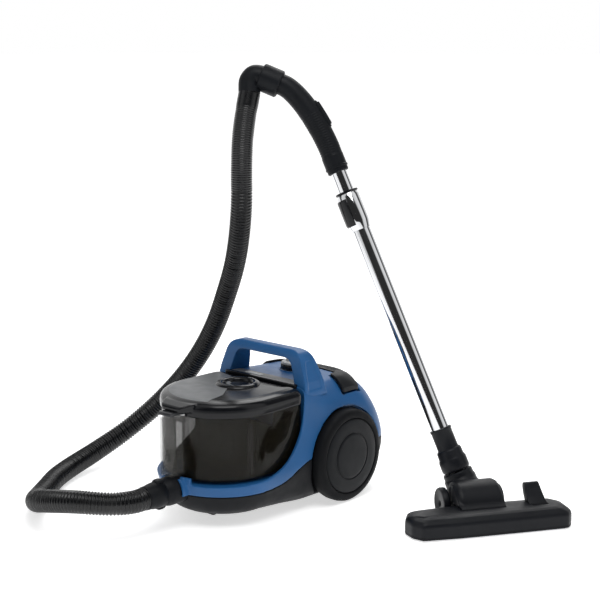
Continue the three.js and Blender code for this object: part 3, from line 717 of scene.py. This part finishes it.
def build_knob():
    piece("knob_skirt", at(fluted(30, 245.2, 256), 0, KNOB_Y, 0), GLOSS, "knob", ("power_knob",),
          bevel=0.5, segments=2)
    crown = lathe([(0, 250), (27.6, 250), (28.4, 256), (27.6, 259.2), (25, 260.4), (21, 260.6),
                   (19.6, 259.2), (6, 258.8), (0, 258.8)])
    bar = prism(rounded([(-19, -4.5), (19, -4.5), (19, 4.5), (-19, 4.5)], 4), 258, 264, "xyz")
    turn = Matrix.Translation((0, KNOB_Y, 0)) @ Matrix.Rotation(math.radians(35), 4, "Z")
    piece("knob_crown", moved(crown, turn), SILVER, "knob", add=[moved(bar, turn)],
          bevel=0.6)
    piece("knob_collar", at(tube_ring(31.2, 34, 241.5, 244.6), 0, KNOB_Y, 0), BLUE, "canister")


build_deck()
build_knob()


# ---------------------------------------------------------------- bin, cyclone and lid
def duct(inset, low, high, radius):
    """The upright air duct at the front of the bin, shrunk by inset."""
    wide = 14.5 - inset
    side = [(-339 + inset, low), (-302, low), (-302, high), (-339 + inset, high)]
    front = [(-wide, low), (wide, low), (wide, high), (-wide, high)]
    return both(prism(rounded(side, radius), -wide, wide),
                prism(rounded(front, radius), -345, -300, "xzy"))


def build_bin():
    outer = bin_solid([(90.6, 108, -97, 8), (91.6, 112.4, -93, 11), (94.5, 115, -90.6, 13),
                       (98, 116, -89.2, 14), (210.5, 116, -89.2, 14), (213, 115.6, -89.6, 14)])
    inner = bin_solid([(93.4, 108, -97, 8), (96, 112.4, -92.6, 11), (99, 113.2, -92, 12),
                       (260, 113.2, -92, 12)])
    duct_mouth = block(-9.5, 9.5, -320, -290, 104, 200)
    rear_port = block(-40, 40, -100, -84, 155, 195)
    piece("bin_wall", outer, SMOKE, "bin", ("bin_cup",),
          cut=[inner, duct_mouth, rear_port])
    piece("clear_column", duct(0, 100, 220, 9), CLEAR, "bin",
          cut=[duct(2.6, 102.6, 217, 7), bin_solid([(90, 113.4, -92), (260, 113.4, -92)]),
               block(-20, 20, -345, -299, 213.4, 250)], bevel=0.5)
    panel = both(bin_solid([(99.5, 112.9, -92.4), (210, 112.9, -92.4)]),
                 block(-120, 120, -158, -80, 90, 220))
    piece("bin_backing", panel, GLOSS, "bin",
          cut=[bin_solid([(90, 111.2, -94), (260, 111.2, -94)]), rear_port])
    # A grey rib on the near inside of the bin. Its pale grey is partly its own colour and partly a painted
    # reflection: the light vertical strip that shows there.
    strip = moved(block(108, 111, -5, 5, 103, 200), Matrix.Translation((0, BOWL_Y, 0))
                  @ Matrix.Rotation(math.radians(-17.7), 4, "Z"))
    piece("bin_rib", strip, INNER, "bin", bevel=0.4)


def build_cyclone():
    y = BOWL_Y + 4
    drum = lathe([(0, 97), (30, 97), (44, 99.5), (48, 104), (49, 112), (49, 232), (0, 232)], 128)
    cones = []
    cone_count = 8
    for k in range(cone_count):
        turn = Matrix.Rotation(2 * PI * (k + 0.5) / cone_count - 0.35, 4, "Z")
        cone = lathe([(0, 118), (3, 126), (15, 206), (15, 240), (0, 240)], 32)
        cones.append(moved(cone, turn @ Matrix.Translation((52, 0, 0))))
    piece("cyclone_drum", at(drum, 0, y, 0), CYCLONE, "lid", ("cyclone_cone", "mesh_filter"),
          cut=[at(c, 0, y, 0) for c in cones], bevel=0.6, segments=2)
    ridge = tube_ring(46, 53, 209, 214)
    piece("cyclone_flange", at(ridge, 0, y, 0), GLOSS, "lid")
    upper = [(40, 222), (42, 205), (45, 185), (51, 164), (62, 142), (80, 122), (108, 106)]
    outline = curved_edge(upper, [(108, 99), (40, 99)])
    fin = moved(prism(list(reversed(outline)), -1.3, 1.3, "xzy"), Matrix.Translation((0, y, 0))
                @ Matrix.Rotation(math.radians(222.3), 4, "Z"))
    piece("dust_vane", fin, CYCLONE, "bin", bevel=0.3)


LID_LEVELS = [(213.4, 118.6, -92.6, 12), (215, 119.6, -92, 13), (224, 120, -91.6, 14),
              (231, 119, -92, 14), (236, 116.4, -93, 13.5), (239.6, 112, -95, 13),
              (242, 105, -98, 12), (243.2, 95, -103, 11)]


def upright(profile, closed=False):
    """A turned shape on the axis of the lid's button."""
    return at(lathe(profile, closed=closed), 0, BUTTON_Y, 0)


def build_lid():
    nose_plan = rounded([(-40, -300), (-24, -327), (24, -327), (40, -300), (40, -270), (-40, -270)], 8)
    nose_side = [(-330, 224.4), (-330, 230), (-322, 235), (-305, 239), (-270, 241), (-270, 224.4)]
    nose = both(prism(nose_plan, 200, 260, "xyz"), prism(nose_side, -60, 60))
    hollow = bin_solid([(200, 112, -99), (236, 110, -99)])
    latch_room = block(-18.4, 18.4, -345, -300, 200, 224.2)
    well = prism(rounded([(-80, -112), (-44, -124), (44, -124), (80, -112), (96, -85), (-96, -85)], 8),
                 239.8, 270, "xyz")
    piece("lid_shell", bin_solid(LID_LEVELS), GLOSS, "lid", ("bin_lid",), add=[nose],
          cut=[hollow, at(rod(26.6, 200, 270, 96), 0, BUTTON_Y, 0), latch_room, well],
          voxel=1.4, rounds=3)
    # Grey panel over the lid's front and left. Its grey is partly its own colour and partly a painted
    # reflection of the soft light that the gloss black lid shows there.
    outline = [(-124, -80), (-112, -100), (-84, -109), (-50, -118), (-42, -138), (-30, -168), (6, -182),
               (40, -230), (62, -330), (-200, -330), (-200, -80)]
    upper = [(z + 0.7, r - 3.6, rear - 3, corner) for z, r, rear, corner in LID_LEVELS[3:]]
    lower = [(z - 1.4, r - 4.6, rear - 4, corner) for z, r, rear, corner in LID_LEVELS[3:]]
    piece("lid_panel", both(bin_solid(upper), prism(outline, 200, 270, "xyz")), LID_GREY_AND_REFLECTION, "lid",
          cut=[at(rod(43, 200, 270, 96), 0, BUTTON_Y, 0), bin_solid(lower)], bevel=0.3)
    top = LID_LEVELS[-1][0]
    bezel = [(27.2, top - 5), (28, top + 1), (30, top + 4), (33, top + 5.4), (37, top + 5.2),
             (41, top + 3.2), (43, top + 0.6), (43, top - 5)]
    piece("button_bezel", upright(bezel, True), GLOSS, "lid", ("lid_bezel",))
    button = [(0, top - 8), (25.6, top - 8), (26, top - 3), (25.4, top - 0.6), (23, top + 0.2),
              (14, top - 1.4), (0, top - 2.2)]
    piece("release_button", upright(button), GLOSS, "button", ("lid_button",))
    crescent = [(15, top - 0.6), (15.6, top + 0.8), (22, top + 1.8), (22.6, top + 0.6), (22, top - 0.8),
                (16, top - 1.4)]
    half = both(upright(crescent, True), block(-40, 40, -200, BUTTON_Y - 3, 200, 270))
    piece("button_crescent", half, LID_GREY_AND_REFLECTION, "button")
    lever_side = [(-342, 221.4), (-337, 225), (-318, 223.9), (-303.6, 223.9), (-303.6, 218),
                  (-322, 218.6), (-334, 218.4), (-341, 218.4)]
    piece("latch_lever", prism(rounded(lever_side, 2.5), -16.4, 16.4), LEVER, "latch", ("bin_latch",),
          bevel=1.0)


build_bin()
build_cyclone()
build_lid()


# ---------------------------------------------------------------- wheels
def build_wheels():
    tyre = [(74.4, 118), (80, 113), (86, 112.2), (90, 115.5), (92, 124), (92, 137), (90.8, 142.8),
            (87.6, 146.6), (83, 148.2), (78, 148.6), (75.6, 148.2), (74.6, 146.6)]
    disc = [(0, 134), (70, 134), (73.6, 136), (74.2, 146), (73, 148), (70.6, 148.9), (58, 149.5),
            (47.6, 149.9), (46.6, 148.7), (45.2, 148.6), (44.2, 149.8), (40, 150.3), (20, 150.7),
            (0, 150.8)]
    lip_profile = [(93.5, 118), (98.5, 112), (101, 116), (101, 121), (98.6, 123.4), (95, 123.4),
                   (93.5, 121)]
    above_axle = block(-140, 140, -6, 140, 100, 130)
    for s, side in ((1, "right"), (-1, "left")):
        place = CAN @ Matrix.Translation((0, WHEEL_Y, WHEEL_R)) @ Matrix.Rotation(s * PI / 2, 4, "Y")
        body = f"wheel_{side}"
        piece(f"big_tyre_{side}", lathe(tyre, 144, closed=True), TYRE, body, (f"tyre_{side}",), place,
              angle=50)
        piece(f"wheel_face_{side}", lathe(disc, 144), WHEEL, body,
              (f"wheel_disc_{side}", f"wheel_cap_{side}"), place, angle=50)
        arc = both(lathe(lip_profile, 144, closed=True),
                   moved(above_axle, Matrix.Rotation(s * PI / 2, 4, "Z")))
        piece(f"arch_lip_{side}", arc, BLUE, "canister", place=place, angle=50)


build_wheels()


# ---------------------------------------------------------------- hose fittings
def build_cuff():
    y0 = -393
    profile = [(18, y0), (21.4, y0), (22, y0 + 1), (22.2, y0 + 12), (23.4, y0 + 15), (24.2, y0 + 22),
               (24.6, y0 + 25), (24.6, y0 + 38.6), (23.8, y0 + 39.4), (23.8, y0 + 40.6),
               (24.6, y0 + 41.4), (25.0, y0 + 50), (26.4, y0 + 52), (26.6, y0 + 70), (25.4, y0 + 74),
               (20.6, y0 + 79), (18, y0 + 79)]
    piece("cuff_body", at(along_y(lathe(profile, 96, closed=True)), 0, 0, INLET_Z), HANDLE, "cuff",
          ("hose_cuff",), angle=50)
    for s, end in ((1, "top"), (-1, "bottom")):
        side = [(y0 + 25, s * 22), (y0 + 47, s * 22), (y0 + 46, s * 26), (y0 + 40, s * 27.8),
                (y0 + 30, s * 27.8), (y0 + 26, s * 25.6)][::s]
        piece(f"release_clip_clip_{end}", at(prism(rounded(side, 2), -7.4, 7.4), 0, 0, INLET_Z), HANDLE,
              f"clip_{end}", (f"cuff_clip_{end}",), bevel=0.8)
    ring = lathe([(21.2, -340), (26.4, -340), (27, -338), (27, -308), (21.2, -308)], 96, closed=True)
    piece("inlet_collar", at(along_y(ring), 0, 0, INLET_Z), BASE, "canister", ("inlet_ring",))


def build_elbow():
    collar = tube_ring(22.3, 27, -26, 15, 2.2)
    piece("elbow_collar", collar, HANDLE, "canister", ("hose_elbow",), ELBOW)
    bend = smooth_path([(-362, 0, 765.4), (-380, 1, 772.6), (-394, 2, 774.6), (-403, 2, 765),
                        (-404.4, 1, 751), (-404.25, 0, 740)], 10)
    piece("elbow_bend", sweep(bend, lambda i, n: circle(22.2 - 1.2 * i / n, 48)), HANDLE, "canister",
          place=WAND, angle=80)


GRIP_BEND = [(-234.9, 0, 595.3), (-240.5, 0, 609.3), (-253.3, 0, 641.8), (-271, 0, 676), (-301, 0, 722),
             (-331.5, 0, 752.5), (-359, 0, 764.1)]
GRIP_SIDE = math.radians(125)     # the side of the grip that has finger grooves
GRIP_STEP = 1.2
GROOVE_PITCH = 5.0


def build_grip():
    path = even_path(GRIP_BEND, GRIP_STEP)
    length = len(path)

    def section(i, count):
        t = i / (length - 1)
        grooves = 0.12 < t < 0.55
        loop = []
        for k in range(56):
            turn = 2 * PI * k / 56
            radius = 20.4 + 1.1 * math.sin(PI * t) if t > 0.12 else 21.4
            inner_side = max(0.0, math.cos(turn - GRIP_SIDE)) ** 0.5
            if grooves:
                wave = 0.5 + 0.5 * math.cos(2 * PI * i * GRIP_STEP / GROOVE_PITCH)
                radius -= 0.9 * inner_side * wave ** 2
            loop.append((radius * math.cos(turn), radius * math.sin(turn)))
        return loop

    piece("grip_tube", sweep(path, section), HANDLE, "handle", ("handle_tube",), WAND,
          angle=60)
    socket = tube_ring(16.2, 20.6, 632, 646, 1.6)
    piece("grip_socket", socket, HANDLE, "handle", ("handle_socket",), TUBE)
    ring = tube_ring(19, 22.4, 640, 645, 1.2)
    piece("grip_ring", ring, HANDLE, "handle", (), TUBE)
    pad_path = path[int(length * 0.36):int(length * 0.62)]

    def pad_section(i, count):
        rise = 24.6 if 3 < i < count - 4 else 21.5
        return [(-8, -15), (8, -15), (10.5, -19), (9.5, -rise), (6.5, -rise - 1.6), (-6.5, -rise - 1.6),
                (-9.5, -rise), (-10.5, -19)]

    piece("suction_slide", sweep(pad_path, pad_section), HANDLE, "slider", ("suction_slider",), WAND,
          bevel=0.8)


def build_wand():
    inner = lathe([(13.8, 160), (15.6, 160), (15.6, 639), (13.8, 639)], 96, closed=True)
    piece("inner_tube", inner, CHROME, "handle", ("upper_tube",), TUBE)
    outer = lathe([(16, 98), (17.4, 98), (17.5, 99), (17.5, 555), (17, 556.4), (16, 556.4)], 96,
                  closed=True)
    piece("outer_tube", outer, CHROME, "lower", ("lower_tube",), TUBE)
    collar = lathe([(17.7, 514), (18.6, 514), (21.6, 527), (22, 530), (22, 582), (21, 584), (20.4, 588),
                    (19, 590), (16.2, 590), (16.2, 557), (17.7, 557)], 96, closed=True)
    piece("lock_collar", collar, CHROME, "lower", ("tube_collar",), TUBE)
    sector = lathe([(22.2, 524), (24.4, 526), (25, 530), (25, 574), (24.4, 577), (22.2, 578)], 120,
                   closed=True)
    turns = [math.radians(degrees) for degrees in range(150, 251, 10)]
    wedge = [(0, 0), *[(60 * math.cos(turn), 60 * math.sin(turn)) for turn in turns]]
    piece("lock_latch", both(sector, prism(wedge, 500, 600, "xyz")), GLOSS, "stop_latch",
          ("tube_latch",), TUBE, bevel=0.9)
    ring = tube_ring(17.8, 22.6, 588, 592, 1)
    piece("lock_ring", ring, GLOSS, "lower", (), TUBE)
    cuff = lathe([(12.4, 18), (24, 18), (26.4, 20), (27.2, 24), (27, 40), (25.6, 44), (24.6, 46),
                  (24.2, 58), (22.6, 61), (20.6, 62.5), (20.2, 66), (20.2, 98), (21.2, 99.4),
                  (21.2, 103), (18, 104), (17.7, 103), (17.7, 60), (12.4, 60)], 96, closed=True)
    piece("wand_cuff", cuff, HEAD_BLACK, "lower", ("neck_cuff",), TUBE, angle=45)


# ---------------------------------------------------------------- floor head
PIVOT_Y, PIVOT_Z = 69, 31


def build_neck():
    top = HEAD.inverted() @ WAND @ Vector((0, 0, 0))
    low = Vector((0, PIVOT_Y, PIVOT_Z))
    over = top + (top - low) * 0.1
    barrel = along_x(lathe([(0, -36), (21, -36), (24.4, -33), (25, -29), (25, 29), (24.4, 33),
                            (21, 36), (0, 36)]))
    radii = [26, 29, 32, 34, 34.5, 33, 30.5, 29, 28.4]
    last = len(radii) - 1
    path = [low + (over - low) * i / last for i in range(last + 1)]
    stem = sweep(path, lambda i, n: circle(radii[i], 64))
    collar = lathe([(0, -30), (22, -30), (30, -22), (31, -16), (31, 2), (29, 5), (28.6, 14.6),
                    (27.4, 16.6), (0, 16.6)])
    piece("neck_body", at(barrel, 0, PIVOT_Y, PIVOT_Z), HEAD_BLACK, "neck", ("neck_elbow",), HEAD,
          add=[stem, moved(collar, HEAD.inverted() @ TUBE)], voxel=1.5, rounds=4)


def head_plan(z, inset):
    """One level of the floor head's outline, drawn in by inset."""
    outline = [(166, -30), (166, 20), (152, 38), (60, 41), (-60, 41), (-138, 34), (-151, 6), (-146, -22),
               (-131, -41), (-60, -44), (60, -44), (154, -43)]
    shrunk = [(x - math.copysign(inset, x), y - math.copysign(inset, y)) for x, y in outline]
    return [(x, y, z) for x, y in rounded(shrunk, 5, 5)]


def head_solid(levels):
    return loft([head_plan(z, inset) for z, inset in levels])


def build_head():
    shell = head_solid([(4, 1.5), (7, 0.2), (12, 0), (26, 0.2), (31, 1.6), (34.5, 5), (38, 11),
                        (40.2, 18), (41, 28)])
    room = head_solid([(0, 5), (20, 5), (30, 9), (35, 18)])
    neck_mouth = block(-31, 31, 26, 60, 8, 60)
    pedal_slot = block(95, 127, -11, 26, 20, 60)
    piece("head_shell", shell, HEAD_BLACK, "head", ("head_cover",), HEAD,
          cut=[room, neck_mouth, pedal_slot], voxel=1.4, rounds=2)
    piece("head_skirt", head_solid([(2.4, 0.6), (4.6, 0.2), (8.4, 0.2)]), BASE, "head", (), HEAD,
          cut=[head_solid([(-1, 5), (12, 5)])], bevel=0.6)


def build_hood():
    dome = along_x(lathe([(0, -45), (38, -45), (44, -42.5), (47, -37), (47, 37), (44, 42.5), (38, 45),
                          (0, 45)]))
    toe_levels = [(-8, 44, 42.5), (2, 45, 47), (14, 45.5, 56), (30, 45.5, 68), (46, 45, 76)]
    toe = loft([[(x * wide, y, z) for x, z in rounded([(-1, 38), (1, 38), (1, top), (-1, top)], 3)]
                for y, wide, top in toe_levels])
    barrel_room = at(along_x(rod(37, -36.4, 36.4, 96)), 1, 62, PIVOT_Z)
    below = block(-80, 80, -40, 100, -40, 40.2)
    behind = block(-80, 80, 66, 120, 0, 100)
    neck_room = block(-36.4, 38.4, 44, 120, 10, 62)
    piece("neck_hood", at(dome, 1, 47, PIVOT_Z), HEAD_BLACK, "head", ("head_hood",), HEAD, add=[toe],
          cut=[barrel_room, below, behind, neck_room], voxel=1.4, rounds=5)


def build_head_fittings():
    pedal_curve = [(-9, 30), (2, 30), (12, 37), (20, 47), (27, 59), (31, 69), (28, 73.5), (22, 73),
                   (14, 63), (4, 50), (-6, 40)]
    smooth = [(p.x, p.y) for p in smooth_path([(a, b, 0) for a, b in pedal_curve], 5, closed=True)]
    front = rounded([(90, 20), (130, 20), (122, 60), (118, 80), (92, 80), (90, 60)], 6)
    lean = Matrix.Rotation(math.radians(52), 4, "X")
    groove = moved(block(99, 114, -1.2, 1.2, -0.6, 0.6), lean)
    grooves = [at(groove, 0, y, z) for y, z in ((19.4, 70), (16.2, 66), (13, 62))]
    piece("foot_pedal", both(prism(smooth, 88, 131), prism(front, -60, 90, "xzy")), HEAD_BLACK,
          "floor_pedal", ("head_pedal",), HEAD, cut=grooves, bevel=1.5)
    for s, side in ((1, "right"), (-1, "left")):
        wheel = [(4.6, s * 47), (27, s * 47), (29.6, s * 49), (30, s * 51), (30, s * 57), (28.6, s * 60),
                 (25, s * 61), (22.6, s * 60), (8, s * 60), (4.6, s * 58)][::s]
        roller = at(along_x(lathe(wheel, 96, closed=True)), 0, PIVOT_Y, PIVOT_Z)
        piece(f"head_roller_{side}", roller, HEAD_BLACK, f"roller_{side}", (f"head_wheel_{side}",), HEAD,
              angle=45)


build_cuff()
build_elbow()
build_grip()
build_wand()
build_neck()
build_head()
build_hood()
build_head_fittings()


# ---------------------------------------------------------------- inner parts keep their CAD shape
CAD_LOOKS = {
    "exhaust_filter": FOAM, "prefilter": FOAM, "motor_housing": INNER, "motor_seal": RUBBER,
    "control_board": BOARD, "reel_axle": STEEL, "cord_outlet": RUBBER, "axle_left": STEEL,
    "axle_right": STEEL, "castor_fork": BASE, "castor_pin": STEEL, "castor_wheel": TYRE,
    "fan_rotor": ALLOY, "cord_reel": INNER, "sole_plate": STEEL, "head_bracket": HEAD_BLACK,
    "pivot_shaft": STEEL, "brush_front": BRISTLE, "brush_rear": BRISTLE,
}
for node_name, look in CAD_LOOKS.items():
    node = frame["nodes"][node_name]
    for mesh_object in [node, *node.children_recursive]:
        if mesh_object.type == "MESH":
            for material_slot in mesh_object.material_slots:
                material_slot.material = look

# ---------------------------------------------------------------- room and light
FLOOR_HALF = 90000
floor = raw_object("floor", block(-FLOOR_HALF, FLOOR_HALF, -FLOOR_HALF, FLOOR_HALF, -12, -0.5), CAN)
floor_material, _, floor_shader = nodes_of("pale_floor")
floor_shader.inputs["Base Color"].default_value = (0.97, 0.97, 0.97, 1)
floor_shader.inputs["Roughness"].default_value = 1.0
floor_shader.inputs["Specular IOR Level"].default_value = 0.1
floor_shader.inputs["Emission Color"].default_value = (1, 1, 1, 1)
floor_shader.inputs["Emission Strength"].default_value = 0.6
floor.data.materials.append(floor_material)


def studio_world():
    """Light and dark bands along one fixed direction, for long streaks in the chrome."""
    world = bpy.data.worlds.new("studio")
    bpy.context.scene.world = world
    world.use_nodes = True
    tree = world.node_tree
    coords = tree.nodes.new("ShaderNodeTexCoord")
    toward = (look_at - camera.location).normalized()
    dot = tree.nodes.new("ShaderNodeVectorMath")
    dot.operation = "DOT_PRODUCT"
    dot.inputs[1].default_value = toward
    spread = tree.nodes.new("ShaderNodeMapRange")
    spread.inputs["From Min"].default_value = -1
    spread.inputs["From Max"].default_value = 1
    bands = tree.nodes.new("ShaderNodeValToRGB")
    bands.color_ramp.interpolation = "EASE"
    stops = {0.0: 0.03, 0.12: 0.03, 0.20: 0.75, 0.42: 0.9, 0.5: 0.05, 0.6: 0.05, 0.7: 0.5, 0.8: 1.0,
             1.0: 1.0}
    elements = bands.color_ramp.elements
    for position in list(stops)[1:-1]:
        elements.new(position)
    for element, level in zip(elements, stops.values()):
        element.color = (level, level, level, 1)
    tree.links.new(coords.outputs["Generated"], dot.inputs[0])
    tree.links.new(dot.outputs["Value"], spread.inputs["Value"])
    tree.links.new(spread.outputs["Result"], bands.inputs["Fac"])
    tree.links.new(bands.outputs["Color"], tree.nodes["Background"].inputs["Color"])
    tree.nodes["Background"].inputs["Strength"].default_value = 1.0


studio_world()
bpy.context.scene.view_settings.view_transform = "Standard"


def area_light(name, spot, size, power):
    """A square lamp that points at the middle of the machine."""
    data = bpy.data.lights.new(name, "AREA")
    data.size = size
    data.energy = power
    lamp = bpy.data.objects.new(name, data)
    bpy.context.scene.collection.objects.link(lamp)
    lamp.location = CAN @ Vector(spot)
    aim = CAN @ Vector((100, 0, 250))
    lamp.rotation_euler = (aim - lamp.location).to_track_quat("-Z", "Y").to_euler()


area_light("key", (900, -900, 2600), 1.4, 26)
area_light("back", (-900, 1500, 2300), 1.6, 22)
